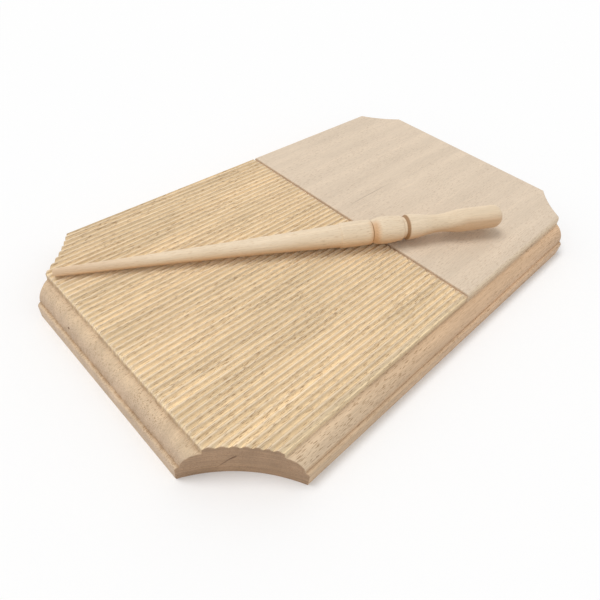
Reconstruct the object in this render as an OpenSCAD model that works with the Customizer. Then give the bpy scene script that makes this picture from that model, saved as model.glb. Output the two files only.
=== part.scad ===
// A ribbed dumpling board of solid beech with a moulded edge and scooped corners,
// and the turned beech stick that lies across it.
// The underside is at Z = 0, the length runs along X and the ribs are at the -X end.

/* [Board] */
// Length over the bottom band
board_l = 269; // [230:1:320]
// Width over the bottom band
board_w = 165.6; // [150:0.1:195]
// Thickness from the underside to the working face
board_t = 18; // [17:0.5:24]

/* [Edge moulding] */
// Height of the upright band at the foot of the edge
band_h = 7.5; // [5:0.1:9]
// Width of the flat shoulder on top of the band
shoulder_w = 1.6; // [0.5:0.1:4]
// Radius of the quarter round above the shoulder
ovolo_r = 6.5; // [4:0.1:7]
// Width of the flat ledge between the quarter round and the step up to the working face
ledge_w = 0.3; // [0.2:0.1:3]

/* [Corner scoops] */
// Radius of the hollow curve that takes off each corner
scoop_r = 69.5; // [55:0.5:75]
// Distance of each curve's centre outside the corner, along both edges
scoop_offset = 30; // [15:1:35]

/* [Ribs] */
// Length of the ribs from the step at the end of the board to the divider groove
rib_l = 134.1; // [80:0.1:180]
// Distance from one rib to the next
rib_pitch = 2.77; // [2:0.01:5]
// Depth of the valleys between the ribs
rib_depth = 1.2; // [0.5:0.1:2]
// Distance from the front edge of the working face to the first crest
rib_start = 2; // [0:0.1:2.5]
// How much narrower the valleys are than the crests, where 1 makes them alike
rib_sharpness = 1.2; // [1:0.05:2]

/* [Divider groove] */
// Width of the groove between the ribs and the plain area
divider_w = 2.2; // [1:0.1:5]
// Depth of the groove below the working face
divider_depth = 2; // [0.5:0.1:2.5]

/* [Stick shaft] */
// Diameter just behind the rounded tip
tip_d = 3.6; // [3:0.1:5]
// Length from the tip to the collar
shaft_l = 128; // [100:0.5:150]
// Diameter where the shaft meets the collar
shaft_d = 11.2; // [8:0.1:11.5]
// Share of the shaft's growth that comes as a flare near the collar
shaft_flare = 0.25; // [0:0.01:0.8]

/* [Stick collar and bead] */
// Diameter of the collar at its ends
collar_d = 12.2; // [11.6:0.1:13]
// Length of the collar
collar_l = 15.9; // [10:0.1:20]
// Extra diameter of the collar half way along
collar_swell = 0.3; // [0:0.1:0.5]
// Width of the narrow turned line between the collar and the bead
line_w = 0.4; // [0.2:0.1:1]
// Diameter where the bead starts, at the bottom of that line
neck_d = 10.8; // [9:0.1:11.4]
// Diameter of the bead at its thickest place, which is the thickest of the whole stick
bead_d = 13.6; // [13.4:0.1:16]
// Diameter of the bead at its far end
bead_end_d = 12.4; // [11.6:0.1:13.2]
// Length of the bead
bead_l = 15.7; // [8:0.1:20]
// Length from the start of the bead to its thickest place
bead_rise_l = 6.7; // [3:0.1:7.5]
// Width of the turned groove between the bead and the handle
ring_w = 3.4; // [2:0.1:5]
// Width of that groove's floor
ring_floor_w = 1.3; // [0.5:0.1:1.6]
// Diameter of that groove's floor
ring_d = 10.4; // [8:0.1:11.4]

/* [Stick handle] */
// Diameter where the handle starts
handle_d = 12.6; // [11.6:0.1:14]
// Diameter of the waist
waist_d = 9; // [6:0.1:11]
// Length from the start of the handle to the waist
waist_l = 17.6; // [8:0.1:25]
// Diameter of the grip beyond the waist
grip_d = 11.8; // [10:0.1:14]
// Length from the waist to where the grip is full
grip_run_l = 14; // [10:0.5:30]
// Length of the full grip
grip_l = 17.5; // [5:0.5:30]
// Length of the rounded end
end_l = 4.5; // [3:0.5:10]

/* [Stick at rest] */
// Distance from the ribbed end of the board to the tip of the stick
tip_from_end = 9.9; // [5:0.1:30]
// Distance from the back edge of the board to the tip of the stick
tip_from_back = 32.6; // [25:0.1:60]
// Angle at which the stick lies across the board, in degrees from its length
stick_heading = -29.1; // [-35:0.1:-10]
// Gap left between the stick and the crests that carry it
stick_clearance = 0.2; // [0.1:0.05:0.3]

/* [Hidden] */
$fn = 128;

// How far a cutting shape runs past the solid that it cuts
cut_over = 1;
// Straight pieces that each rib's curve is drawn with
rib_steps = 8;
// Straight pieces that each curve along the stick is drawn with
run_steps = 14;

// Width of the moulding, from the outer edge to the working face
margin = shoulder_w + ovolo_r + ledge_w;
// Height of the ledge at the foot of the step
ledge_z = band_h + ovolo_r;
// Centre of the quarter round, measured in from the outer edge
ovolo_in = shoulder_w + ovolo_r;
// Where the divider groove starts along the board
divider_x = -board_l / 2 + margin + rib_l;
// First crest across the board
first_crest_y = -board_w / 2 + margin + rib_start;

// Section of the board across one direction, "size" wide over the band
module moulded_section(size) {
    translate([-size / 2, 0])
        square([size, band_h]);
    translate([-size / 2 + ovolo_in, 0])
        square([size - 2 * ovolo_in, ledge_z]);
    translate([-size / 2 + margin, 0])
        square([size - 2 * margin, board_t]);
    intersection() {
        for (side = [-1, 1])
            translate([side * (size / 2 - ovolo_in), band_h])
                circle(r = ovolo_r);
        translate([-size / 2, 0])
            square([size, board_t]);
    }
}

// The blank with its edge moulding on all four sides
module moulded_blank() {
    intersection() {
        rotate([90, 0, 0])
            linear_extrude(height = board_w + 2 * cut_over, center = true)
                moulded_section(board_l);
        rotate([90, 0, 90])
            linear_extrude(height = board_l + 2 * cut_over, center = true)
                moulded_section(board_w);
    }
}

// The hollow curves that take off the four corners
module corner_scoops() {
    for (sx = [-1, 1], sy = [-1, 1])
        translate([sx * (board_l / 2 + scoop_offset), sy * (board_w / 2 + scoop_offset), -cut_over])
            cylinder(r = scoop_r, h = board_t + 2 * cut_over);
}

// Height of the ribbed face at y: a cosine wave whose valleys are drawn narrower
function rib_z(y) =
    board_t - rib_depth * pow((1 - cos(360 * (y - first_crest_y) / rib_pitch)) / 2, rib_sharpness);

// What is cut away between the ribs
module rib_valleys() {
    step = rib_pitch / rib_steps;
    lead = ceil((rib_start + cut_over) / rib_pitch) * rib_steps;
    count = ceil((board_w - 2 * margin + 2 * cut_over) / step) + lead;
    wave = [for (i = [0 : count]) let (y = first_crest_y + (i - lead) * step) [y, rib_z(y)]];
    lid_z = board_t + cut_over;
    translate([-board_l / 2 - cut_over, 0, 0])
        rotate([90, 0, 90])
            linear_extrude(height = margin + rib_l + divider_w / 2 + cut_over)
                polygon(concat(wave, [[wave[count][0], lid_z], [wave[0][0], lid_z]]));
}

// The groove between the ribs and the plain area
module divider_groove() {
    translate([divider_x, -board_w / 2 - cut_over, board_t - divider_depth])
        cube([divider_w, board_w + 2 * cut_over, divider_depth + cut_over]);
}

module ribbed_board() {
    color("burlywood")
        difference() {
            moulded_blank();
            corner_scoops();
            rib_valleys();
            divider_groove();
        }
}

// Where each turned stretch of the stick starts, measured from the tip
collar_s = shaft_l;
line_s = collar_s + collar_l;
bead_s = line_s + line_w;
carry_s = bead_s + bead_rise_l;
ring_s = bead_s + bead_l;
handle_s = ring_s + ring_w;
// How far the groove's first flank reaches, from the bead to the groove's floor
ring_fall_l = 0.4 * (ring_w - ring_floor_w);
waist_s = handle_s + waist_l;
grip_s = waist_s + grip_run_l;
end_s = grip_s + grip_l;

// Rounded tip of radius r: a quarter circle that starts on the axis
function tip_curve(r) =
    [for (i = [0 : run_steps]) let (a = 90 * i / run_steps) [r * sin(a), r * (1 - cos(a))]];

// Shaft whose radius grows evenly, with a cubic flare added towards the collar,
// without its first point
function shaft_curve(s0, s1, r0, r1) =
    [for (i = [1 : run_steps]) let (t = i / run_steps)
        [r0 + (r1 - r0) * ((1 - shaft_flare) * t + shaft_flare * pow(t, 3)), s0 + (s1 - s0) * t]];

// Straight taper that swells by "bulge" half way along
function crowned_curve(s0, s1, r0, r1, bulge) =
    [for (i = [0 : run_steps]) let (t = i / run_steps)
        [r0 + (r1 - r0) * t + bulge * sin(180 * t), s0 + (s1 - s0) * t]];

// Smooth change of radius, level at both ends, without its first point
function eased_curve(s0, s1, r0, r1) =
    [for (i = [1 : run_steps]) let (t = i / run_steps)
        [r0 + (r1 - r0) * (1 - cos(180 * t)) / 2, s0 + (s1 - s0) * t]];

// Quarter wave from a slope to a level peak
function rise_curve(s0, s1, r0, r1) =
    [for (i = [0 : run_steps]) let (t = i / run_steps)
        [r0 + (r1 - r0) * sin(90 * t), s0 + (s1 - s0) * t]];

// Quarter wave from a level peak to a slope, without its first point
function fall_curve(s0, s1, r0, r1) =
    [for (i = [1 : run_steps]) let (t = i / run_steps)
        [r1 + (r0 - r1) * cos(90 * t), s0 + (s1 - s0) * t]];

// Rounded end: a quarter ellipse that closes on the axis, without its first point
function end_curve(s0, length, r) =
    [for (i = [1 : run_steps]) let (a = 90 * i / run_steps) [r * cos(a), s0 + length * sin(a)]];

// Half section of the whole stick, with the radius first and the place along the axis second
function stick_outline() = concat(
    tip_curve(tip_d / 2),
    shaft_curve(tip_d / 2, collar_s, tip_d / 2, shaft_d / 2),
    crowned_curve(collar_s, line_s, collar_d / 2, collar_d / 2, collar_swell / 2),
    rise_curve(bead_s, carry_s, neck_d / 2, bead_d / 2),
    fall_curve(carry_s, ring_s, bead_d / 2, bead_end_d / 2),
    [[ring_d / 2, ring_s + ring_fall_l]],
    [[ring_d / 2, ring_s + ring_fall_l + ring_floor_w]],
    [[handle_d / 2, handle_s]],
    eased_curve(handle_s, waist_s, handle_d / 2, waist_d / 2),
    eased_curve(waist_s, grip_s, waist_d / 2, grip_d / 2),
    [[grip_d / 2, end_s]],
    end_curve(end_s, end_l, grip_d / 2)
);

// The stick is carried at its tip and at the thickest place of its bead, which sets its tilt
stick_tilt = atan((bead_d - tip_d) / 2 / (carry_s - tip_d / 2));
tip_z = board_t + stick_clearance + tip_d / 2 * (cos(stick_tilt) - sin(stick_tilt));

module rolling_stick() {
    color("wheat")
        translate([-board_l / 2 + tip_from_end, board_w / 2 - tip_from_back, tip_z])
            rotate([0, 90 - stick_tilt, stick_heading])
                rotate_extrude()
                    polygon(stick_outline());
}

ribbed_board();
rolling_stick();
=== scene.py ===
"""Visual model of a ribbed board of bare beech and the turned beech stick that lies across it.

The board is one numpy surface of rows across the width and columns along the length. The stick is a
turned outline carried round its axis. Lengths are in metres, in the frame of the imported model: +X
from the ribbed end to the plain end, +Y to the back, +Z up, underside at Z = 0.
"""

import logging
import math
from dataclasses import dataclass, field
from enum import Enum

import bpy
import numpy as np
from mathutils import Matrix, Vector


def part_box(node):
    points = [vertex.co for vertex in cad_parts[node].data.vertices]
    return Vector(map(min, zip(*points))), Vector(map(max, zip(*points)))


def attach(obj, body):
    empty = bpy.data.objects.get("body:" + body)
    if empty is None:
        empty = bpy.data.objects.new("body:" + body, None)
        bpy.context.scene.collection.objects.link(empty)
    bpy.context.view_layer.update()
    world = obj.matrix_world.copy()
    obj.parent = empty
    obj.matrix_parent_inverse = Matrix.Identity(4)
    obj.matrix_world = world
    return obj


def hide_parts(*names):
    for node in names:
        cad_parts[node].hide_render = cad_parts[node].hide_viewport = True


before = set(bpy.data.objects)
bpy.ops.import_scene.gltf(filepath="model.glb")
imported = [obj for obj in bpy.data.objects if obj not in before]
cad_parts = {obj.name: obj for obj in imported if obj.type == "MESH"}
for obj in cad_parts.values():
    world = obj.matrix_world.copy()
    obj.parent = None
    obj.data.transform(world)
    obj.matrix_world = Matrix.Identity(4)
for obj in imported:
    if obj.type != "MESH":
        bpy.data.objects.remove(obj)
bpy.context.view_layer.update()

LOG = logging.getLogger("ribbed_board")
MM = 0.001
# Lengths closer than the first count as equal, and the second keeps repeated places in order
SAME = 1e-8
NUDGE = 1e-9

Socket = bpy.types.NodeSocket
Tree = bpy.types.NodeTree
Array = np.ndarray
Pair = tuple[float, float]
Triple = tuple[float, float, float]
Four = tuple[float, float, float, float]


def linear(hex_code: str) -> Four:
    """Turns the six digits of an sRGB hex colour into a linear colour with full alpha."""
    channels = [int(hex_code[i:i + 2], 16) / 255 for i in (0, 2, 4)]
    return tuple(c / 12.92 if c <= 0.04045 else ((c + 0.055) / 1.055) ** 2.4 for c in channels) + (1.0,)


def add_node(tree: Tree, kind: str, settings: dict | None = None) -> bpy.types.Node:
    """Adds one shader node with its settings and links.

    Args:
        tree: the node tree that gets the node.
        kind: the node's type name, such as "ShaderNodeTexNoise".
        settings: attribute names, or input names or numbers, to their values. Where the value is a
            socket, the input is linked to it.

    Returns:
        The new node.
    """
    node = tree.nodes.new(kind)
    for name, value in (settings or {}).items():
        if isinstance(value, Socket):
            tree.links.new(value, node.inputs[name])
        elif isinstance(name, str) and hasattr(node, name):
            setattr(node, name, value)
        else:
            node.inputs[name].default_value = value
    return node


def laid_over(tree: Tree, colour: Socket | Four, layers: list[tuple[Socket, Socket | str]]) -> Socket:
    """Lays colours over one another.

    Args:
        tree: the material's node tree.
        colour: the lowest colour.
        layers: for each colour above it, how much of it shows, and the colour or its hex code.

    Returns:
        The mixed colour's socket.
    """
    for share, over in layers:
        upper = linear(over) if isinstance(over, str) else over
        colour = add_node(tree, "ShaderNodeMix", {
            "data_type": "RGBA", 0: share, 6: colour, 7: upper}).outputs[2]
    return colour


def arc(centre: Pair, radius: float, start: float, end: float, steps: int) -> Array:
    """Points on a circular arc: centre + radius * (cos a, sin a), with a in even steps of degrees."""
    a = np.radians(np.linspace(start, end, steps + 1))
    return np.stack([centre[0] + radius * np.cos(a), centre[1] + radius * np.sin(a)], axis=1)


def curve(start: Pair, end: Pair, along: Array, across: Array) -> Array:
    """Points from start to end, where two arrays give the share of the way that each coordinate has gone."""
    return np.array(start) + (np.array(end) - np.array(start)) * np.stack([along, across], axis=1)


def run(start: Pair, end: Pair, steps: int) -> Array:
    """Points on a straight stretch from start to end in even steps, without the first point."""
    t = np.linspace(0, 1, steps + 1)[1:]
    return curve(start, end, t, t)


class Mark(Enum):
    """Names of the values that a mesh carries for its material."""

    CREST = "crest"
    RIBBED = "ribbed"
    PLAIN = "plain"
    SCOOP = "scoop"
    # Brown in the inner corners and the divider groove: partly dust and grime, partly painted shade
    RECESS = "recess"
    LONG_EDGE = "long_edge"
    # Painted light on the plain area's edge over the step, and the long edges paler towards the ribbed end
    LIT_AND_PALE_EDGE = "sanded"
    TURNED_LINE = "turned_line"
    HANDLED = "handled"
    # Painted shade on the stick's lower front side, and a browner front towards the tip
    SHADED_SIDE_AND_TIP = "shaded_side_and_tip"
    TOASTED = "toasted"


@dataclass
class WornMesh:
    """A closed mesh made from whole arrays, with values for its material.

    Points that fall on one place are joined, and a face that loses a corner that way goes.
    """

    name: str
    points: Array
    triangles: Array
    marks: dict[Mark, Array] = field(default_factory=dict)
    weld: float = 0.001 * MM
    sharp_angle: float = 38.0

    def build(self) -> bpy.types.Object:
        """Makes the object.

        Returns:
            The object, at the origin, smooth but for sharp edges where the surface turns.
        """
        keys = np.round(self.points / self.weld).astype(np.int64)
        _, first, back = np.unique(keys, axis=0, return_index=True, return_inverse=True)
        tris = back.reshape(-1)[self.triangles]
        whole = (tris[:, 0] != tris[:, 1]) & (tris[:, 1] != tris[:, 2]) & (tris[:, 2] != tris[:, 0])
        tris = tris[whole]
        mesh = bpy.data.meshes.new(self.name)
        mesh.from_pydata(self.points[first], [], tris)
        for mark, values in self.marks.items():
            layer = mesh.attributes.new(mark.value, "FLOAT", "POINT")
            layer.data.foreach_set("value", values[first].astype(np.float32))
        mesh.update()
        mesh.shade_smooth()
        mesh.set_sharp_from_angle(angle=math.radians(self.sharp_angle))
        LOG.info("%s: %d points, %d triangles", self.name, len(first), len(tris))
        piece = bpy.data.objects.new(self.name, mesh)
        bpy.context.scene.collection.objects.link(piece)
        return piece


def grid_triangles(rows: int, columns: int, rising: Array) -> Array:
    """Splits every cell of a grid into two triangles.

    Args:
        rows: number of rows of points.
        columns: number of columns of points.
        rising: for each cell, whether the cut runs from (row, column) to (row + 1, column + 1).

    Returns:
        Array of triangles that turn from the column direction to the row direction.
    """
    j, k = np.meshgrid(np.arange(rows - 1), np.arange(columns - 1), indexing="ij")
    a = j * columns + k
    b = a + 1
    c = a + columns
    d = c + 1
    up = np.stack([np.stack([a, b, d], -1), np.stack([a, d, c], -1)], -2)
    down = np.stack([np.stack([a, b, c], -1), np.stack([b, d, c], -1)], -2)
    return np.where(rising[..., None, None], up, down).reshape(-1, 3)


@dataclass(frozen=True)
class Pattern:
    """Noise stretched to a real size and spread between two values.

    Its size goes along X, Y and Z, where X is the grain. `detail` is how many finer copies are laid
    over it, and the noise values `low` and `high` become `least` and `most`.
    """

    size_mm: Triple
    detail: float
    low: float
    high: float
    least: float = 0.0
    most: float = 1.0
    roughness: float = 0.55

    def spread(self, tree: Tree, coords: Socket) -> Socket:
        """Adds the pattern's nodes.

        Args:
            tree: the material's node tree.
            coords: coordinates in metres.

        Returns:
            The pattern's socket.
        """
        scaled = add_node(tree, "ShaderNodeMapping", {
            "Scale": tuple(1 / (size * MM) for size in self.size_mm), "Vector": coords})
        noise = add_node(tree, "ShaderNodeTexNoise", {
            "Scale": 1.0, "Detail": self.detail, "Roughness": self.roughness, "Vector": scaled.outputs[0]})
        return add_node(tree, "ShaderNodeMapRange", {
            "From Min": self.low, "From Max": self.high, "To Min": self.least, "To Max": self.most,
            "Value": noise.outputs[0]}).outputs[0]


@dataclass(frozen=True)
class Scar:
    """A small dark mark in the wood: a stretched spot at a place, turned along the surface."""

    place: Triple
    turn: Triple
    size: Triple
    depth: float
    core: float = 0.4

    def mask(self, tree: Tree, coords: Socket) -> Socket:
        """Adds nodes for the mark's strength: full in the core of a stretched ball, 0 outside it.

        Args:
            tree: the material's node tree.
            coords: the piece's Object coordinates.

        Returns:
            The strength's socket.
        """
        local = add_node(tree, "ShaderNodeMapping", {
            "vector_type": "TEXTURE", "Location": self.place, "Scale": self.size,
            "Rotation": tuple(math.radians(a) for a in self.turn), "Vector": coords})
        reach = add_node(tree, "ShaderNodeVectorMath", {"operation": "LENGTH", 0: local.outputs[0]})
        return add_node(tree, "ShaderNodeMapRange", {
            "interpolation_type": "SMOOTHSTEP", "From Min": self.core, "From Max": 1.0,
            "To Min": self.depth, "To Max": 0.0, "Value": reach.outputs["Value"]}).outputs[0]


@dataclass(frozen=True)
class BareBeech:
    """Common beech, left bare.

    What the eye gets: a pale tan wood with soft bands from the yearly rings, fine fibres, and short
    brown pore dashes along the grain. Real pores are 0.1 mm wide, too fine to show, so the dashes are
    drawn three times as wide.
    """

    name: str
    colour: str
    rings: Pattern = Pattern((90.0, 7.0, 7.0), 3.0, 0.32, 0.68)
    ring_share: float = 0.10
    fibres: Pattern = Pattern((14.0, 0.5, 0.5), 2.0, 0.3, 0.7)
    fibre_share: float = 0.10
    dashes: Pattern = Pattern((2.8, 0.34, 0.34), 1.0, 0.57, 0.67)
    dash_share: float = 0.62
    dash_sink: float = 0.6
    dash_colour: str = "8F6840"
    patches: Pattern = Pattern((45.0, 9.0, 9.0), 1.0, 0.3, 0.6, least=0.35)
    blush: Pattern = Pattern((38.0, 38.0, 38.0), 2.0, 0.35, 0.7, most=0.25)
    blush_colour: str = "E2BFA0"
    roughness: float = 0.58
    ior: float = 1.5
    gloss: float = 0.3
    relief: float = 0.05 * MM
    marks: tuple[Mark, ...] = ()

    def grain_frame(self, tree: Tree) -> tuple[Socket, Socket]:
        """Object coordinates, and the same turned so that X runs along the grain."""
        coords = add_node(tree, "ShaderNodeTexCoord").outputs["Object"]
        return coords, coords

    def tint(self, tree: Tree, coords: Socket, colour: Socket, marks: dict[Mark, Socket]) -> Socket:
        """Local changes of colour. Plain beech has none."""
        return colour

    def grain_share(self, tree: Tree, marks: dict[Mark, Socket]) -> Socket | float:
        """How strongly the rings, fibres and pores show, from 0 to 1."""
        return 1.0

    def make(self) -> bpy.types.Material:
        """Builds the material.

        Returns:
            The material, with its colour, gloss and relief worked out by nodes.
        """
        material = bpy.data.materials.new(self.name)
        material.use_nodes = True
        tree = material.node_tree
        tree.nodes.clear()
        coords, grain = self.grain_frame(tree)
        marks = {mark: add_node(tree, "ShaderNodeAttribute", {"attribute_name": mark.value}).outputs["Fac"]
                 for mark in self.marks}

        rings, fibres, dashes, patches, blush = (pattern.spread(tree, grain) for pattern in (
            self.rings, self.fibres, self.dashes, self.patches, self.blush))
        dashes = add_node(tree, "ShaderNodeMath", {"operation": "MULTIPLY", 0: dashes, 1: patches}).outputs[0]
        colour = laid_over(tree, linear(self.colour), [(blush, self.blush_colour)])
        colour = self.tint(tree, coords, colour, marks)
        shown = self.grain_share(tree, marks)
        for layer, share in ((rings, self.ring_share), (fibres, self.fibre_share)):
            shade = add_node(tree, "ShaderNodeMapRange", {
                "To Min": 1 - share, "To Max": 1 + share, "Value": layer})
            colour = add_node(tree, "ShaderNodeMix", {
                "data_type": "RGBA", "blend_type": "MULTIPLY", 0: shown, 6: colour,
                7: shade.outputs[0]}).outputs[2]
        pores = dashes
        for share in (self.dash_share, shown):
            pores = add_node(tree, "ShaderNodeMath", {"operation": "MULTIPLY", 0: pores, 1: share}).outputs[0]
        colour = laid_over(tree, colour, [(pores, self.dash_colour)])

        relief = add_node(tree, "ShaderNodeMath", {
            "operation": "MULTIPLY_ADD", 0: dashes, 1: -self.dash_sink, 2: fibres})
        bump = add_node(tree, "ShaderNodeBump", {
            "Strength": 1.0, "Distance": self.relief, "Height": relief.outputs[0]})
        shader = add_node(tree, "ShaderNodeBsdfPrincipled", {
            "Roughness": self.roughness, "IOR": self.ior, "Specular IOR Level": self.gloss,
            "Base Color": colour, "Normal": bump.outputs[0]})
        add_node(tree, "ShaderNodeOutputMaterial", {"Surface": shader.outputs[0]})
        return material


@dataclass(frozen=True)
class PlanedBeech(BareBeech):
    """Beech planed, moulded and ribbed by cutters, then lightly sanded.

    What the eye gets: the plain area is greyer where it was planed, the crests of the ribs carry a pale
    line that is partly worn wood and partly painted highlight, the flanks and valleys are lightened with
    painted light against their shade, the end grain is pinker, the inner corners are browned in patches,
    partly by dust and grime and partly with painted shade, the plain area's edge over the step gets
    painted light, the long edges are paler towards the ribbed end, and the curves at the corners are
    browned by the cutter and keep its level streaks.
    Each fade gives the two values that it runs between and the shares that they get.
    """

    marks: tuple[Mark, ...] = (Mark.CREST, Mark.RIBBED, Mark.PLAIN, Mark.SCOOP, Mark.RECESS,
                               Mark.LONG_EDGE, Mark.LIT_AND_PALE_EDGE)
    plain_colour: str = "DFCCB5"
    plain_calm: float = 0.45
    # Pale crest line, partly worn wood and partly painted highlight; also paints light on the plain edge
    crest_highlight_colour: str = "FBE6C8"
    crest_highlight_fade: Four = (0.86, 1.0, 0.0, 0.6)
    # Painted light: the rib flanks and valleys are lightened against their shade
    flank_painted_light: str = "F4DCB4"
    flank_painted_light_fade: Four = (0.0, 0.9, 1.0, 0.35)
    end_colour: str = "C9B199"
    end_fade: Four = (0.3, 0.95, 0.0, 0.7)
    side_colour: str = "D9B794"
    # Brown of the inner corners: partly dust and grime, partly painted shade
    recess_grime_and_shade: str = "A98866"
    grime_and_shade: Pattern = Pattern((2.2, 2.2, 2.2), 3.0, 0.4, 0.6, least=0.4)
    scoop_colour: str = "AF8F71"
    streaks: Pattern = Pattern((26.0, 26.0, 0.9), 2.0, 0.3, 0.7, 0.88, 1.12, roughness=0.5)
    scars: tuple[Scar, ...] = ()
    scar_colour: str = "5E4128"

    def grain_share(self, tree: Tree, marks: dict[Mark, Socket]) -> Socket | float:
        """The plain area was sanded smoother, so its grain is calmer."""
        return add_node(tree, "ShaderNodeMath", {
            "operation": "MULTIPLY_ADD", 0: marks[Mark.PLAIN], 1: -self.plain_calm, 2: 1.0}).outputs[0]

    def tint(self, tree: Tree, coords: Socket, colour: Socket, marks: dict[Mark, Socket]) -> Socket:
        """Colours of the worked surfaces, laid over the wood's own.

        Args:
            tree: the material's node tree.
            coords: the piece's Object coordinates.
            colour: the wood's colour.
            marks: the values that the mesh carries.

        Returns:
            The changed colour's socket.
        """
        normal = add_node(tree, "ShaderNodeTexCoord").outputs["Normal"]
        split = add_node(tree, "ShaderNodeSeparateXYZ", {0: normal})
        facing = add_node(tree, "ShaderNodeMath", {"operation": "ABSOLUTE", 0: split.outputs["X"]}).outputs[0]
        # Shares of the flanks' painted light, of the crest line and of the end grain's colour
        flank, crest, end = (
            add_node(tree, "ShaderNodeMapRange", {
                "interpolation_type": "SMOOTHSTEP", "From Min": low, "From Max": high, "To Min": least,
                "To Max": most, "Value": value}).outputs[0]
            for value, (low, high, least, most) in (
                (marks[Mark.CREST], self.flank_painted_light_fade), (marks[Mark.CREST], self.crest_highlight_fade),
                (facing, self.end_fade)))
        recess_patches = self.grime_and_shade.spread(tree, coords)
        flank, crest, grime_and_shade = (
            add_node(tree, "ShaderNodeMath", {"operation": "MULTIPLY", 0: share, 1: marks[mark]}).outputs[0]
            for share, mark in ((flank, Mark.RIBBED), (crest, Mark.RIBBED), (recess_patches, Mark.RECESS)))
        browned = add_node(tree, "ShaderNodeMix", {
            "data_type": "RGBA", "blend_type": "MULTIPLY", 0: 1.0, 6: linear(self.scoop_colour),
            7: self.streaks.spread(tree, coords)}).outputs[2]
        scars = [(scar.mask(tree, coords), self.scar_colour) for scar in self.scars]
        return laid_over(tree, colour, [
            (marks[Mark.LONG_EDGE], self.side_colour), (end, self.end_colour),
            # Flanks lightened with painted light, the crest line partly painted highlight, recesses partly
            # painted shade
            (flank, self.flank_painted_light), (crest, self.crest_highlight_colour), (grime_and_shade, self.recess_grime_and_shade),
            # The plain area's grey, and painted light on its edge over the step
            (marks[Mark.PLAIN], self.plain_colour), (marks[Mark.LIT_AND_PALE_EDGE], self.crest_highlight_colour),
            (marks[Mark.SCOOP], browned)] + scars)


@dataclass(frozen=True)
class TurnedBeech(BareBeech):
    """Pale beech turned on a lathe and sanded while it spins.

    What the eye gets: a smoother and paler wood than the board, with its grain along the stick, and
    brown in the turned lines, partly a burn line and partly painted shade, on the handle and where a tool
    rubbed. The lower front side gets painted shade, and the front is browner towards the tip.
    """

    marks: tuple[Mark, ...] = (Mark.HANDLED, Mark.SHADED_SIDE_AND_TIP, Mark.TOASTED, Mark.TURNED_LINE)
    rings: Pattern = Pattern((110.0, 5.0, 5.0), 3.0, 0.32, 0.68)
    ring_share: float = 0.07
    fibre_share: float = 0.06
    dash_share: float = 0.3
    dash_colour: str = "B98F62"
    blush: Pattern = Pattern((38.0, 38.0, 38.0), 2.0, 0.35, 0.7, most=0.3)
    blush_colour: str = "E6CBA6"
    roughness: float = 0.5
    relief: float = 0.02 * MM
    handled_colour: str = "E4CEB0"
    # Painted shade on the lower front side; it also browns the front towards the tip
    shaded_side_colour: str = "CFA57A"
    toasted_colour: str = "D9A877"
    # Turned lines: partly a burn line, partly painted shade in the grooves
    line_colour: str = "93683C"
    tip: Triple = (0.0, 0.0, 0.0)
    tilt: float = 0.0
    heading: float = 0.0

    def tint(self, tree: Tree, coords: Socket, colour: Socket, marks: dict[Mark, Socket]) -> Socket:
        """The handle, the painted shade low on the front, the toasted bead and the turned lines, over the
        wood's colour.
        """
        colours = (self.handled_colour, self.shaded_side_colour, self.toasted_colour, self.line_colour)
        return laid_over(tree, colour, [(marks[mark], over) for mark, over in zip(self.marks, colours)])

    def grain_frame(self, tree: Tree) -> tuple[Socket, Socket]:
        """Object coordinates, and the same with X along the stick from its tip."""
        coords = add_node(tree, "ShaderNodeTexCoord").outputs["Object"]
        turned = add_node(tree, "ShaderNodeMapping", {
            "vector_type": "TEXTURE", "Location": self.tip, "Rotation": (0.0, -self.tilt, self.heading),
            "Vector": coords})
        return coords, turned.outputs[0]


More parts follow.
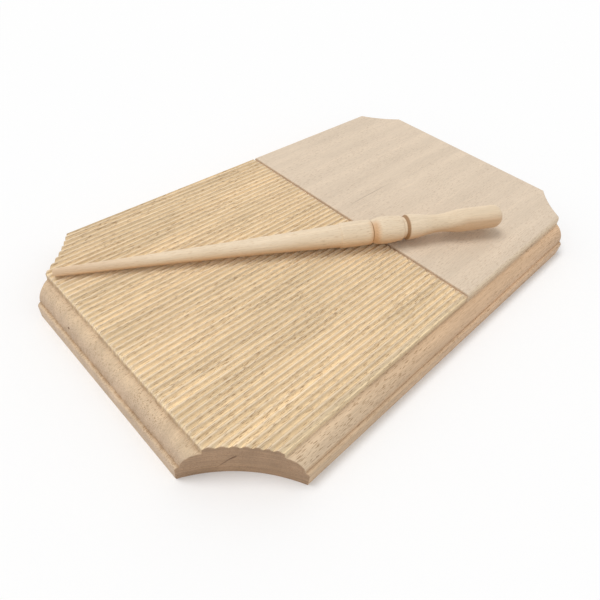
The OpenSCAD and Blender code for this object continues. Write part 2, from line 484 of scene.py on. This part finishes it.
@dataclass
class EdgeMoulding:
    """Section of the edge: upright band, flat shoulder, quarter round, ledge and step."""

    thickness: float
    band: float = 7.5 * MM
    shoulder: float = 1.6 * MM
    ovolo: float = 6.5 * MM
    ledge: float = 0.3 * MM
    eased: float = 1.2 * MM
    cove: float = 1.2 * MM
    side_round: Pair = (1.3 * MM, 2.8 * MM)
    end_round: Pair = (0.5 * MM, 1.0 * MM)
    # Pieces that each stretch is drawn with, from the underside up
    pieces: tuple[int, ...] = (5, 3, 2, 14, 4, 1, 8)
    # Brown: its heights above the band and shares there, its fades at the outer edge and before the
    # step, and how far up the step it stays
    foot_heights: tuple[float, ...] = (0.0, 1.0 * MM, 4.5 * MM)
    foot_shares: tuple[float, ...] = (1.0, 0.8, 0.0)
    outer_wear: Pair = (0.2 * MM, 0.8 * MM)
    outer_shares: Pair = (0.5, 1.0)
    step_run: Pair = (0.2 * MM, 0.7 * MM)
    step_height: float = 2.6 * MM

    @property
    def margin(self) -> float:
        """Width of the moulding, from the outer edge to the step."""
        return self.shoulder + self.ovolo + self.ledge

    @property
    def ledge_z(self) -> float:
        """Height of the ledge at the foot of the step."""
        return self.band + self.ovolo

    def section(self, face_round: Pair) -> Array:
        """Section from the underside to the working face.

        Straight stretches and quarter circles, with a quarter ellipse where the step is sanded into
        the working face.

        Args:
            face_round: width and height of that quarter ellipse.

        Returns:
            Array of (distance in from the outer edge, height).
        """
        e = self.eased
        wide, tall = face_round
        start = (self.margin, self.thickness - tall)
        inner = self.shoulder + self.ovolo
        cove_z = self.ledge_z + self.cove
        upright, ease, flat, bulge, hollow, riser, lip = self.pieces
        return np.concatenate([
            [[0.0, 0.0]],
            run((0, 0), (0, self.band - e), upright),
            arc((e, self.band - e), e, 180, 90, ease)[1:],
            run((e, self.band), (self.shoulder, self.band), flat),
            arc((inner, self.band), self.ovolo, 180, 90, bulge)[1:],
            (inner, cove_z) + arc((0, 0), 1, 270, 360, hollow)[1:] * (self.ledge, self.cove),
            run((self.margin, cove_z), start, riser),
            start + arc((1, 0), 1, 180, 90, lip)[1:] * (wide, tall),
        ])

    def shade(self, section: Array, foot_share: float, step_share: float) -> Array:
        """How brown each point of the section is: dust and grime in the inner corners, and painted shade
        there and at the foot of the step.

        Args:
            section: the section, as section() gives it.
            foot_share: how brown the shoulder and the foot of the quarter round are.
            step_share: how brown the ledge and the foot of the step are.

        Returns:
            One value from 0 to 1 for each point of the section.
        """
        d, z = section[:, 0], section[:, 1]
        foot = np.interp(z - self.band, self.foot_heights, self.foot_shares)
        foot = np.where(z < self.band - SAME, 0, foot) * np.interp(d, self.outer_wear, self.outer_shares)
        step = np.interp(self.margin - d, self.step_run, [1, 0])
        step = step * np.interp(z, [self.ledge_z + self.step_height, self.thickness], [1, 0])
        return np.maximum(foot * foot_share, step * step_share)


@dataclass
class RibbedBoard:
    """The board, cut from one plank of beech."""

    node: str = "ribbed_board"
    body: str = "board"
    slot: str = "board_beech"
    scoop_radius: float = 69.5 * MM
    scoop_offset: float = 30.0 * MM
    scoop_round: float = 0.35 * MM
    rib_length: float = 134.1 * MM
    rib_pitch: float = 2.77 * MM
    rib_depth: float = 1.2 * MM
    rib_start: float = 2.0 * MM
    rib_sharpness: float = 1.2
    rib_steps: int = 8
    divider_width: float = 1.4 * MM
    divider_inset: float = 0.25 * MM
    divider_depth: float = 1.5 * MM
    divider_lip: float = 0.5 * MM
    divider_corner: float = 0.3 * MM
    corner_pieces: int = 3
    rib_end_round: float = 1.6 * MM
    rib_end_drop: float = 0.7 * MM
    crest_wear: float = 0.09 * MM
    crest_drift: float = 0.07 * MM
    drift_spread: float = 0.5
    drift_sway: float = 0.35
    slow_wave: float = 21.0 * MM
    slow_share: float = 0.25
    quick_wave: float = 9.0 * MM
    quick_share: float = 0.15
    face_columns_mm: tuple[float, ...] = (0.0, 0.09, 0.2, 0.35, 0.7, 1.1, 1.6)
    rib_columns: int = 16
    plain_columns: int = 9
    row_gap: float = 0.05 * MM
    row_digits: int = 4
    # Shares of the inner corners' brown, partly grime and partly painted shade: ends, long edges, groove
    end_brown: Pair = (0.7, 0.6)
    side_brown: Pair = (0.05, 0.0)
    groove_brown: float = 0.15
    # Marks: painted light on the plain area's edge over the step, the plain area's grey, how far each mark
    # fades, and the places along the board where the long edges turn from pale to brown
    edge_light_share: float = 0.85
    edge_light_at: float = 0.3 * MM
    edge_light_fade: float = 1.1 * MM
    plain_from: float = 0.2 * MM
    plain_fade: float = 1.0 * MM
    rib_fade: float = 0.3 * MM
    scoop_fade: float = 0.25 * MM
    edge_fade: float = 0.2 * MM
    mitre_fade: float = 0.5 * MM
    clean_band: float = 0.2 * MM
    pale_share: float = 0.3
    pale_run: Pair = (-100.0 * MM, -30.0 * MM)
    pale_height: float = 2.0 * MM
    brown_run: Pair = (-90.0 * MM, 10.0 * MM)
    brown_least: float = 0.35
    seed: int = 7

    def __post_init__(self) -> None:
        """Reads the board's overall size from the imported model."""
        low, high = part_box(self.node)
        self.half_length = (high.x - low.x) / 2
        self.half_width = (high.y - low.y) / 2
        self.thickness = high.z - low.z
        self.edge = EdgeMoulding(self.thickness)
        self.section = self.edge.section(self.edge.end_round)
        self.side_section = self.edge.section(self.edge.side_round)
        self.groove_start = -self.half_length + self.edge.margin + self.rib_length + self.divider_inset
        self.groove_end = self.groove_start + self.divider_width
        self.first_crest = -self.half_width + self.edge.margin + self.rib_start

    def scoop_gap(self, x: Array, y: Array) -> Array:
        """Distance of each point outside the nearest corner curve.

        The curves are like circles centred outside the corners, so by symmetry the distance is
        |(|x| - cx, |y| - cy)| - radius, and never under 0.
        """
        cx = self.half_length + self.scoop_offset
        cy = self.half_width + self.scoop_offset
        return np.clip(np.hypot(np.abs(x) - cx, np.abs(y) - cy) - self.scoop_radius, 0, None)

    def end_cut(self, y: Array) -> Array:
        """How far in from the board's end a corner curve cuts the row at y: half a chord of the circle."""
        reach = self.half_width + self.scoop_offset - np.abs(y)
        chord = np.sqrt(np.clip(self.scoop_radius**2 - reach**2, 0, None))
        return np.clip(chord - self.scoop_offset, 0, None)

    def rib_face(self, x: Array, y: Array) -> tuple[Array, Array]:
        """Height of the ribbed face and how near it is to a crest.

        A cosine wave raised to a power, so that the valleys are narrower than the crests. Every rib
        has its own wear and drift, which change along it as two sines.

        Args:
            x: places along the board.
            y: places across the board.

        Returns:
            Heights, and values from 0 in a valley to 1 on a crest.
        """
        random = np.random.default_rng(self.seed)
        crests = self.first_crest + self.rib_pitch * np.arange(-1, 2 * self.half_width / self.rib_pitch)
        wear = random.uniform(0, 1, len(crests))
        drift = random.normal(0, self.drift_spread, len(crests))
        phases = random.uniform(0, 2 * math.pi, (2, len(crests)))
        slow = np.sin(x / self.slow_wave + np.interp(y, crests, phases[0]))
        quick = np.sin(x / self.quick_wave + np.interp(y, crests, phases[1]))
        shift = self.crest_drift * (np.interp(y, crests, drift) + self.drift_sway * slow)
        wave = (1 - np.cos(2 * np.pi * (y + shift - self.first_crest) / self.rib_pitch)) / 2
        crest = 1 - wave**self.rib_sharpness
        worn = np.interp(y, crests, wear) + self.slow_share * (1 + slow) + self.quick_share * (1 + quick)
        worn = self.crest_wear * worn / (1 + 2 * (self.slow_share + self.quick_share))
        return self.thickness - self.rib_depth * (1 - crest) - worn * crest, crest

    def rows(self) -> tuple[Array, Array]:
        """Rows across the board, from the front moulding to the back moulding.

        Even rows fall on every crest, and others where a corner curve crosses a section point.

        Returns:
            For each row its y and the height that the long edges' moulding allows there.
        """
        d = np.unique(self.section[:, 0])
        reach = np.sqrt(self.scoop_radius**2 - (self.scoop_offset + d)**2) - self.scoop_offset
        crossing = self.half_width - reach
        step = self.rib_pitch / self.rib_steps
        ribs = np.arange(self.first_crest, self.half_width, step)
        middle = np.concatenate([ribs, crossing, -crossing])
        middle = np.unique(np.round(middle / MM, self.row_digits)) * MM
        side = self.side_section
        middle = middle[np.abs(middle) < self.half_width - side[-1, 0] - self.row_gap]
        y = np.concatenate([-self.half_width + side[:, 0], middle, self.half_width - side[::-1, 0]])
        cap = np.concatenate([side[:, 1], np.full(len(middle), self.thickness), side[::-1, 1]])
        return y, cap

    def rounded(self, gap: Array, radius: float) -> Array:
        """Drop of a face near an edge rounded to a quarter circle: r - sqrt(r^2 - (r - gap)^2)."""
        t = np.clip(gap / radius, 0, 1)
        return radius * (1 - np.sqrt(1 - (1 - t)**2))

    def groove_section(self) -> Array:
        """Section of the divider groove along X, as (x, height) with two quarter-round corners."""
        c = self.divider_corner
        z = self.thickness - self.divider_depth + c
        return np.concatenate([arc((self.groove_start + c, z), c, 180, 270, self.corner_pieces),
                               arc((self.groove_end - c, z), c, 270, 360, self.corner_pieces)])

    def wall(self, cut: Array, top_face: Array) -> tuple[Array, Array]:
        """The section at one end of the board, pushed in where a corner curve cuts the row.

        Points that the curve has passed stand on its upright wall, up to the section's height there.

        Args:
            cut: how far the curve cuts into each row.
            top_face: height of the working face at each point, rows by section points.

        Returns:
            Distances in from the board's end, and heights.
        """
        d, z = self.section[:, 0], self.section[:, 1]
        ledge = self.edge.ledge_z
        stretched = ledge + (z - ledge) * (top_face - ledge) / (self.thickness - ledge)
        shaped = np.where(z > ledge, stretched, z)
        nudge = NUDGE * np.arange(len(d))
        top = np.interp(cut, d + nudge, z)[:, None]
        top = np.where(cut[:, None] >= d[-1], top_face, np.minimum(top, top_face))
        passed = d[None, :] < cut[:, None] - SAME
        last = passed & ~np.concatenate([passed[:, 1:], np.zeros((len(cut), 1), bool)], axis=1)
        height = np.where(last, top, np.where(passed, np.minimum(shaped, top), shaped))
        return np.maximum(d[None, :], cut[:, None]), height

    def grid(self) -> tuple[Array, dict[Mark, Array]]:
        """The whole board but its underside, as one grid.

        Each row runs over one end's section, the ribs, the divider groove, the plain area and the
        other end's section. Height = min(section, row's cap, rib wave), less the rounding near a
        corner curve.

        Returns:
            Points, rows by columns by 3, and the marks at every point.
        """
        y, cap = self.rows()
        cut = self.end_cut(y)
        lip = self.divider_lip
        near = np.array(self.face_columns_mm) * MM
        edge_in = -self.half_length + np.maximum(self.section[-1, 0], cut)[:, None] + near
        lip_in = arc((self.groove_start - lip, 0), lip, 90, 0, self.corner_pieces)[:, 0]
        lip_out = arc((self.groove_end + lip, 0), lip, 180, 90, self.corner_pieces)[:, 0]
        groove = self.groove_section()
        share = np.linspace(0, 1, self.rib_columns + 2)[1:-1]
        ribs = edge_in[:, -1:] + (lip_in[0] - edge_in[:, -1:]) * share
        share = np.linspace(0, 1, self.plain_columns + 2)[1:-1]
        plain = lip_out[-1] + (-edge_in[:, -1:] - lip_out[-1]) * share
        across = np.ones((len(y), 1))
        ribbed_x = np.concatenate([edge_in, ribs, across * lip_in], axis=1)
        plain_x = np.concatenate([across * lip_out, plain, -edge_in[:, ::-1]], axis=1)

        row_y = y[:, None]
        rib_z, crest = self.rib_face(ribbed_x, row_y)
        rib_z = rib_z - crest * self.rounded(self.groove_start - ribbed_x, lip)
        from_step = self.half_length + ribbed_x - self.section[-1, 0]
        rib_end = self.rounded(from_step, self.rib_end_round) / self.rib_end_round
        rib_z = rib_z - self.rib_end_drop * crest * rib_end
        plain_z = self.thickness - self.rounded(plain_x - self.groove_end, lip)
        n = len(self.section)
        left_d, left_z = self.wall(cut, np.repeat(rib_z[:, :1], n, axis=1))
        right_d, right_z = self.wall(cut, np.full((len(y), n), self.thickness))
        x = np.concatenate([left_d - self.half_length, ribbed_x, across * groove[:, 0], plain_x,
                            self.half_length - right_d[:, ::-1]], axis=1)
        z = np.concatenate([left_z, rib_z, across * groove[:, 1], plain_z, right_z[:, ::-1]], axis=1)
        z = np.minimum(z, cap[:, None])
        gap = self.scoop_gap(x, row_y)
        z = np.clip(z - self.rounded(gap, self.scoop_round), 0, None)

        marks = self.marks(x, row_y, z, crest)
        marks[Mark.SCOOP] = np.clip(1 - gap / self.scoop_fade, 0, 1)
        return np.stack([x, row_y + 0 * x, z], axis=-1), marks

    def marks(self, x: Array, y: Array, z: Array, crest: Array) -> dict[Mark, Array]:
        """Values for the material: how near a point is to a crest, and where each worked surface lies.

        Args:
            x: the grid's places along the board.
            y: the rows' places across the board.
            z: the grid's heights.
            crest: nearness to a crest over the ribbed columns.

        Returns:
            The marks of the ribs, the plain area, the inner corners and the long edges.
        """
        n = len(self.section)
        ribs_end = n + crest.shape[1]
        grooved = slice(ribs_end, ribs_end + 2 * (self.corner_pieces + 1))
        margin = self.edge.margin
        crests = np.ones_like(x)
        crests[:, n:ribs_end] = crest
        crests[:, :n] = crest[:, :1]
        plains = np.zeros_like(x)
        plains[:, grooved.stop:-n] = 1
        from_side = self.half_width - np.abs(y) + 0 * x
        # Painted light on the plain area's rounded edge over the step, where the step lies in shade
        sanded = np.clip(1 - np.abs(from_side - margin - self.edge_light_at) / self.edge_light_fade, 0, 1)
        sanded = self.edge_light_share * plains * sanded
        plains *= np.clip((from_side - margin - self.plain_from) / self.plain_fade, 0, 1)
        from_end = self.half_length - np.abs(x)
        inside = np.minimum(from_side, from_end)
        ribbed = np.clip((inside - margin + self.rib_fade) / self.rib_fade, 0, 1)
        ribbed[:, ribs_end:] = 0

        nudge = NUDGE * np.arange(n)
        along_side, along_end = (
            np.interp(inside, section[:, 0] + nudge, self.edge.shade(section, *browns))
            for section, browns in ((self.side_section, self.side_brown), (self.section, self.end_brown)))
        recess = np.where(from_side < from_end, along_side, along_end)
        recess = np.where(z < self.edge.band - self.clean_band, 0, recess)
        # Brown in the divider groove: partly grime, partly painted shade
        in_groove = self.groove_brown * (from_side > margin)
        recess[:, grooved] = np.maximum(recess, in_groove)[:, grooved]
        edge = np.clip((margin - from_side) / self.edge_fade, 0, 1)
        edge = edge * np.clip((from_end - from_side) / self.mitre_fade + 0.5, 0, 1)
        pale = self.pale_share * edge * np.interp(x, self.pale_run, [1, 0])
        pale = pale * (z > self.edge.band + self.pale_height)
        edge = edge * np.interp(x, self.brown_run, [self.brown_least, 1])
        return {Mark.CREST: crests, Mark.RIBBED: ribbed, Mark.PLAIN: plains, Mark.RECESS: recess,
                Mark.LONG_EDGE: edge, Mark.LIT_AND_PALE_EDGE: np.maximum(sanded, pale)}

    def underside(self, points: Array) -> Array:
        """Triangles of the flat underside, on the grid's own points.

        Strips join the first and last point of each row, and a fan closes each long edge.

        Args:
            points: the grid, rows by columns by 3.

        Returns:
            Array of triangles that face down.
        """
        rows, columns = points.shape[:2]
        index = np.arange(rows * columns).reshape(rows, columns)
        left, right = index[:, 0], index[:, -1]
        y = points[:, 0, 1]
        front = int(np.argmax(y > y[0] + SAME))
        back = int(rows - 1 - np.argmax(y[::-1] < y[-1] - SAME))
        inner = np.arange(front, back)
        fan_in, fan_out = index[0], index[-1]
        return np.concatenate([
            np.stack([fan_in[:-1], np.full(columns - 1, left[front]), fan_in[1:]], axis=1),
            [[fan_in[-1], left[front], right[front]]],
            np.stack([left[inner], left[inner + 1], right[inner]], axis=1),
            np.stack([right[inner], left[inner + 1], right[inner + 1]], axis=1),
            [[left[back], fan_out[0], right[back]]],
            np.stack([np.full(columns - 1, right[back]), fan_out[:-1], fan_out[1:]], axis=1),
        ])

    def build(self, finish: BareBeech) -> bpy.types.Object:
        """Makes the board, dresses it and lets it ride on its body.

        Args:
            finish: the board's finish.

        Returns:
            The board's object.
        """
        points, marks = self.grid()
        rows, columns = points.shape[:2]
        front = points[:-1, :-1, 1] < 0
        left = np.arange(columns - 1) < columns // 2
        triangles = np.concatenate([grid_triangles(rows, columns, front != left), self.underside(points)])
        mesh = WornMesh("beech_board", points.reshape(-1, 3), triangles,
                        {mark: values.reshape(-1) for mark, values in marks.items()})
        piece = mesh.build()
        piece.data.materials.append(finish.make())
        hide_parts(self.node)
        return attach(piece, self.body)


@dataclass
class RollingStick:
    """The stick, turned from one blank: shaft, collar, bead between two grooves, waist and grip."""

    board: RibbedBoard
    node: str = "rolling_stick"
    body: str = "stick"
    slot: str = "stick_beech"
    tip_r: float = 1.8 * MM
    shaft_length: float = 128.0 * MM
    shaft_r: float = 5.6 * MM
    shaft_flare: float = 0.25
    shaft_pieces: int = 60
    collar_r: float = 6.1 * MM
    collar_length: float = 15.9 * MM
    collar_swell: float = 0.15 * MM
    shoulder_length: float = 1.6 * MM
    line_width: float = 0.4 * MM
    neck_r: float = 5.4 * MM
    bead_r: float = 6.8 * MM
    bead_end_r: float = 6.2 * MM
    bead_length: float = 15.7 * MM
    bead_rise: float = 6.7 * MM
    bead_pieces: int = 24
    ring_width: float = 3.4 * MM
    ring_floor: float = 1.3 * MM
    ring_fall: float = 0.4
    ring_r: float = 5.2 * MM
    handle_r: float = 6.3 * MM
    waist_r: float = 4.5 * MM
    waist_length: float = 17.6 * MM
    grip_r: float = 5.9 * MM
    grip_run: float = 14.0 * MM
    grip_length: float = 17.5 * MM
    handle_pieces: int = 32
    end_length: float = 4.5 * MM
    end_pieces: int = 7
    lip: float = 0.3 * MM
    lip_pieces: int = 4
    lip_angle: float = 20.0
    foot: float = 0.1 * MM
    flank_pieces: int = 3
    round_pieces: int = 12
    tip_from_end: float = 9.9 * MM
    tip_from_back: float = 32.6 * MM
    heading: float = math.radians(-29.1)
    clearance: float = 0.2 * MM
    oval: float = 0.05 * MM
    oval_twist: float = 60.0 * MM
    around: int = 96
    # Marks: each one's share and fade, and an arc as the cosines that it lies between and their fade
    line_share: float = 0.85
    line_fade: float = 0.25 * MM
    ring_fade: float = 0.35 * MM
    ring_clean: float = 0.2 * MM
    toasted_share: float = 0.75
    toasted_at: float = math.radians(150)
    toasted_arc: Triple = (0.75, 1.0, 0.5)
    toasted_length: float = 1.6 * MM
    toasted_fade: float = 2.6 * MM
    handled_share: float = 0.8
    handled_from: float = 13.0 * MM
    handled_fade: float = 6.0 * MM
    # Painted shade on the lower front side: its share, its middle angle, its arc and its turn along the grip
    shaded_side_share: float = 0.7
    shaded_side_at: float = math.radians(235)
    shaded_side_arc: Triple = (0.8, 1.0, 0.75)
    shaded_side_turn: float = math.radians(35)
    turn_fade: float = 12.0 * MM
    past_end: float = 9.0 * MM
    tip_share: float = 0.85
    tip_length: float = 50.0 * MM
    tip_arc: Triple = (0.5, 1.0, 0.9)

    def __post_init__(self) -> None:
        """Works out where the turned stretches start and how the stick lies."""
        self.collar_s = self.shaft_length
        self.line_s = self.collar_s + self.collar_length
        self.bead_s = self.line_s + self.line_width
        self.peak_s = self.bead_s + self.bead_rise
        self.ring_s = self.bead_s + self.bead_length
        self.floor_s = self.ring_s + self.ring_fall * (self.ring_width - self.ring_floor)
        self.handle_s = self.ring_s + self.ring_width
        self.waist_s = self.handle_s + self.waist_length
        self.grip_s = self.waist_s + self.grip_run
        self.end_s = self.grip_s + self.grip_length
        self.tilt = math.atan((self.bead_r - self.tip_r) / (self.peak_s - self.tip_r))
        lift = self.clearance + self.tip_r * (math.cos(self.tilt) - math.sin(self.tilt))
        self.tip = (-self.board.half_length + self.tip_from_end,
                    self.board.half_width - self.tip_from_back, self.board.thickness + lift)

    def outline(self) -> Array:
        """Half section of the stick from its tip to its end, as (place along the axis, radius).

        The shaft grows evenly with a cubic flare, the collar swells as half a sine wave, the bead
        rises and falls in quarter waves, and the waist is eased as (1 - cos 180 t) / 2 on both sides.
        """
        t = np.linspace(0, 1, self.shaft_pieces + 1)[1:]
        u = np.linspace(0, 1, self.bead_pieces + 1)
        v = np.linspace(0, 1, self.handle_pieces + 1)
        q = np.radians(np.linspace(0, 90, self.end_pieces + 1)[1:])
        flare = (1 - self.shaft_flare) * t + self.shaft_flare * t**3
        ease = (1 - np.cos(np.pi * v)) / 2
        lip, foot = self.lip, self.foot
        shoulder = (self.collar_s + self.shoulder_length, self.collar_r)
        lip_s = self.line_s - lip
        peak, bead_end = (self.peak_s, self.bead_r), (self.ring_s - lip, self.bead_end_r)
        floor_end = (self.floor_s + self.ring_floor, self.ring_r)
        waist, grip, end = (self.waist_s, self.waist_r), (self.grip_s, self.grip_r), (self.end_s, self.grip_r)
        return np.concatenate([
            arc((self.tip_r, 0), self.tip_r, 180, 90, self.round_pieces),
            curve((self.tip_r, self.tip_r), (self.collar_s, self.shaft_r), t, flare),
            curve((self.collar_s, self.shaft_r), shoulder, 1 - np.cos(q), np.sin(q)),
            curve(shoulder, (lip_s, self.collar_r + self.collar_swell), u, np.sin(np.pi * u))[1:],
            arc((lip_s, self.collar_r - lip), lip, 90, 0, self.lip_pieces)[1:],
            run((self.line_s, self.collar_r - lip), (self.line_s + foot, self.neck_r - foot), 2),
            curve((self.bead_s, self.neck_r), peak, u, np.sin(np.pi / 2 * u)),
            curve(peak, bead_end, u, 1 - np.cos(np.pi / 2 * u))[1:],
            arc((bead_end[0], self.bead_end_r - lip), lip, 90, self.lip_angle, self.lip_pieces)[1:],
            run((self.ring_s, self.bead_end_r - lip), (self.floor_s, self.ring_r), self.flank_pieces),
            run((self.floor_s, self.ring_r), floor_end, self.flank_pieces),
            run(floor_end, (self.handle_s, self.handle_r - foot), self.flank_pieces + 2),
            curve((self.handle_s + lip, self.handle_r), waist, v, ease),
            curve(waist, grip, v, ease)[1:],
            run(grip, end, self.round_pieces),
            curve(end, (self.end_s + self.end_length, 0), np.sin(q), 1 - np.cos(q)),
        ])

    def near(self, s: Array, start: float, end: float, fade: float) -> Array:
        """Gives 1 between two values, fading to 0 outside them."""
        return np.clip(1 - np.maximum(start - s, s - end) / fade, 0, 1)

    def marks(self, s: Array, a: Array) -> dict[Mark, Array]:
        """Values for the material: the turned lines, the toasted bead, the handle, and the painted shade on
        the lower front side with the browner tip.

        Args:
            s: places along the stick, as a column.
            a: angles round it, as a row.

        Returns:
            The marks at every point.
        """
        past_end = self.end_s + self.past_end
        # Turned lines and the ring's far wall: partly a burn line, partly painted shade
        line = self.near(s, self.line_s, self.bead_s, self.line_fade)
        ring = self.near(s, self.floor_s + self.ring_floor, self.handle_s - self.ring_clean, self.ring_fade)
        toasted = self.near(s, self.bead_s, self.bead_s + self.toasted_length, self.toasted_fade)
        toasted = toasted * self.near(np.cos(a - self.toasted_at), *self.toasted_arc)
        handled = self.near(s, self.handle_s + self.handled_from, past_end, self.handled_fade)
        # Painted shade on the lower front side, turning along the grip, with the browner tip added
        turn = self.shaded_side_turn * self.near(s, self.grip_s, past_end, self.turn_fade)
        brown = self.near(np.cos(a - self.shaded_side_at + turn), *self.shaded_side_arc)**2
        by_tip = self.near(np.cos(a - self.toasted_at), *self.tip_arc)
        by_tip = self.tip_share * by_tip * np.clip(1 - s / self.tip_length, 0, 1)
        brown = np.maximum(brown, by_tip)
        return {Mark.TURNED_LINE: self.line_share * np.maximum(line, ring) + 0 * a,
                Mark.TOASTED: self.toasted_share * toasted, Mark.SHADED_SIDE_AND_TIP: self.shaded_side_share * brown,
                Mark.HANDLED: self.handled_share * handled + 0 * a}

    def build(self, finish: TurnedBeech) -> bpy.types.Object:
        """Carries the outline round the stick's axis, dresses it and lets it ride on its body.

        A point is tip + s * axis + r * (cos a * side + sin a * up), where r makes it slightly oval.

        Args:
            finish: the stick's finish.

        Returns:
            The stick's object.
        """
        outline = self.outline()
        s, r = outline[:, :1], outline[:, 1:]
        a = np.append(np.linspace(0, 2 * np.pi, self.around + 1)[:-1], 0)[None, :]
        axis = np.array([math.cos(self.heading) * math.cos(self.tilt),
                         math.sin(self.heading) * math.cos(self.tilt), math.sin(self.tilt)])
        side = np.array([-math.sin(self.heading), math.cos(self.heading), 0.0])
        up = np.cross(axis, side)
        narrower = self.oval * (1 - np.cos(2 * a + s / self.oval_twist)) / 2 * r / self.bead_r
        r = np.where(r > SAME, r - narrower, 0)
        points = (np.array(self.tip) + s[..., None] * axis
                  + (r * np.cos(a))[..., None] * side + (r * np.sin(a))[..., None] * up)
        rows, columns = points.shape[:2]
        triangles = grid_triangles(rows, columns, np.ones((rows - 1, columns - 1), bool))
        piece = WornMesh("beech_stick", points.reshape(-1, 3), triangles,
                         {mark: values.reshape(-1) for mark, values in self.marks(s, a).items()}).build()
        piece.data.materials.append(finish.make())
        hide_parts(self.node)
        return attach(piece, self.body)


@dataclass
class Studio:
    """Pale floor, soft light from above and the viewpoint of the picture."""

    floor_size: float = 6.0
    floor_colour: str = "F9F9F9"
    floor_lift: float = 0.045
    sky_level: float = 0.62
    key_level: float = 0.38
    key_softness: float = math.radians(28)
    key_from: Triple = (-0.20, 0.37, 1.0)
    eye: Triple = (-169.75 * MM, -124.80 * MM, 171.49 * MM)
    aim: Triple = (-52.86 * MM, -26.97 * MM, 18.0 * MM)
    roll: float = math.radians(7.62)
    lens: float = 30.0
    sensor: float = 36.0
    clip: Pair = (0.005, 20.0)

    def world(self) -> None:
        """An even sky that looks white and lights the object at its own level."""
        world = bpy.data.worlds.new("pale_sky")
        world.use_nodes = True
        tree = world.node_tree
        tree.nodes.clear()
        rays = add_node(tree, "ShaderNodeLightPath").outputs
        seen = rays["Is Camera Ray"]
        for name in ("Is Glossy Ray", "Is Transmission Ray"):
            seen = add_node(tree, "ShaderNodeMath", {
                "operation": "MAXIMUM", 0: seen, 1: rays[name]}).outputs[0]
        light, shown = (
            add_node(tree, "ShaderNodeBackground", {"Color": linear("FFFFFF"), "Strength": level}).outputs[0]
            for level in (self.sky_level, 1.0))
        mix = add_node(tree, "ShaderNodeMixShader", {0: seen, 1: light, 2: shown})
        add_node(tree, "ShaderNodeOutputWorld", {"Surface": mix.outputs[0]})
        bpy.context.scene.world = world

    def floor(self) -> None:
        """A flat floor that keeps the shadow and is lifted to white where the camera sees it."""
        half = self.floor_size / 2
        mesh = bpy.data.meshes.new("floor")
        mesh.from_pydata([(-half, -half, 0), (half, -half, 0), (half, half, 0), (-half, half, 0)], [],
                         [(0, 1, 2, 3)])
        floor = bpy.data.objects.new("floor", mesh)
        bpy.context.scene.collection.objects.link(floor)
        material = bpy.data.materials.new("matt_paper")
        material.use_nodes = True
        tree = material.node_tree
        tree.nodes.clear()
        matt = add_node(tree, "ShaderNodeBsdfDiffuse", {"Color": linear(self.floor_colour)})
        rays = add_node(tree, "ShaderNodeLightPath").outputs
        lift = add_node(tree, "ShaderNodeMath", {
            "operation": "MULTIPLY", 0: rays["Is Camera Ray"], 1: self.floor_lift})
        glow = add_node(tree, "ShaderNodeEmission", {"Strength": lift.outputs[0]})
        both = add_node(tree, "ShaderNodeAddShader", {0: matt.outputs[0], 1: glow.outputs[0]})
        add_node(tree, "ShaderNodeOutputMaterial", {"Surface": both.outputs[0]})
        mesh.materials.append(material)

    def key_light(self) -> None:
        """One very soft lamp from above and behind, whose level on a flat face is key_level."""
        direction = Vector(self.key_from).normalized()
        lamp = bpy.data.lights.new("soft_key", "SUN")
        lamp.angle = self.key_softness
        lamp.energy = math.pi * self.key_level / direction.z
        key = bpy.data.objects.new("soft_key", lamp)
        key.rotation_mode = "QUATERNION"
        key.rotation_quaternion = direction.to_track_quat("Z", "Y")
        bpy.context.scene.collection.objects.link(key)

    def camera(self) -> None:
        """The viewpoint: the camera looks from eye to aim and is then rolled about that line."""
        lens = bpy.data.cameras.new("camera")
        lens.lens = self.lens
        lens.sensor_width = self.sensor
        lens.clip_start, lens.clip_end = self.clip
        camera = bpy.data.objects.new("camera", lens)
        eye, aim = Vector(self.eye), Vector(self.aim)
        level = (eye - aim).to_track_quat("Z", "Y").to_matrix()
        camera.matrix_world = Matrix.Translation(eye) @ (level @ Matrix.Rotation(self.roll, 3, "Z")).to_4x4()
        bpy.context.scene.collection.objects.link(camera)
        bpy.context.scene.camera = camera

    def build(self) -> None:
        """Sets the stage."""
        bpy.context.scene.view_settings.view_transform = "Standard"
        self.world()
        self.floor()
        self.key_light()
        self.camera()


def board_finish() -> PlanedBeech:
    """The board's finish, with the small scars that its surfaces carry."""
    return PlanedBeech("beech_planed_and_moulded", "D8BF9E", scars=(
        Scar((-119.7 * MM, -59.7 * MM, 7.7 * MM), (0, -51, -42), (6.2 * MM, 0.5 * MM, 0.45 * MM), 0.55),
        Scar((-117.9 * MM, -61.2 * MM, 10.2 * MM), (0, -45, -42), (2.4 * MM, 0.8 * MM, 0.6 * MM), 0.7),
        Scar((-131.8 * MM, 26.1 * MM, 11.0 * MM), (0, 0, 90), (0.9 * MM, 0.6 * MM, 0.5 * MM), 0.9),
        Scar((36.0 * MM, 7.3 * MM, 18.0 * MM), (0, 0, 0), (21.0 * MM, 0.35 * MM, 0.5 * MM), 0.3),
    ))


def stick_finish(stick: RollingStick) -> TurnedBeech:
    """The stick's finish, with the grain along the stick."""
    return TurnedBeech("beech_turned_and_sanded", "EEDABE", tip=stick.tip, tilt=stick.tilt,
                       heading=stick.heading)


def main() -> None:
    """Builds the stage and the pieces in order and reports each piece."""
    logging.basicConfig(level=logging.INFO, format="%(name)s: %(message)s")
    Studio().build()
    board = RibbedBoard()
    stick = RollingStick(board)
    for piece in (board.build(board_finish()), stick.build(stick_finish(stick))):
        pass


if __name__ == "__main__":
    main()
